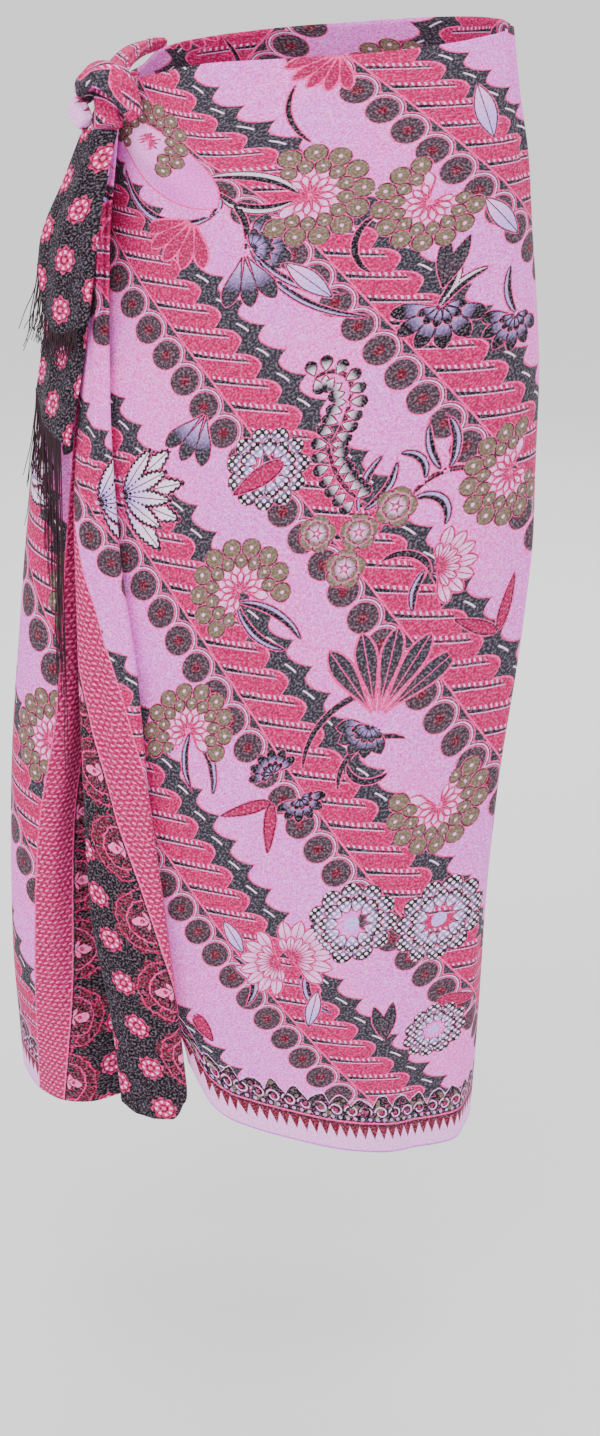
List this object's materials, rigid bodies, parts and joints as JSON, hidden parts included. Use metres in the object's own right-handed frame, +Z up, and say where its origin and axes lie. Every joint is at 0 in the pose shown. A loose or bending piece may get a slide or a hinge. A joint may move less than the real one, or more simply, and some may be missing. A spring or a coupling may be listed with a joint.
{
  "type": "worn batik sarong knotted at the hip",
  "caption": "Ankle-length batik sarong, wrapped round the hips as a hollow form, knotted at one side, with a hanging fall, patterned ends and a fringed short end.",
  "frame": {"origin": "the middle of the waist opening, where the wearer's waist holds the cloth", "axes": "+Z up, the front of the wearer faces -Y, +X is the wearer's left"},
  "size_m": [0.4254, 0.2776, 0.8988],
  "materials": {
    "field_cloth": "printed cotton, pink ground with crimson and charcoal diagonal bands and flowers, matte",
    "end_cloth": "printed cotton, charcoal and crimson end pattern with small pink medallions, matte",
    "knot_cloth": "the same printed cotton, twisted and knotted, matte",
    "fringe_thread": "dark twisted cotton threads, matte"
  },
  "bodies": {
    "root": {"front_wrap": "field_cloth", "back_wrap": "field_cloth", "fall_fold": "end_cloth", "tail_end": "end_cloth", "tail_under": "end_cloth", "knot_over": "knot_cloth", "knot_through": "knot_cloth", "knot_tuck": "knot_cloth", "tail_fringe": "fringe_thread", "under_fringe": "fringe_thread"}
  },
  "joints": []
}
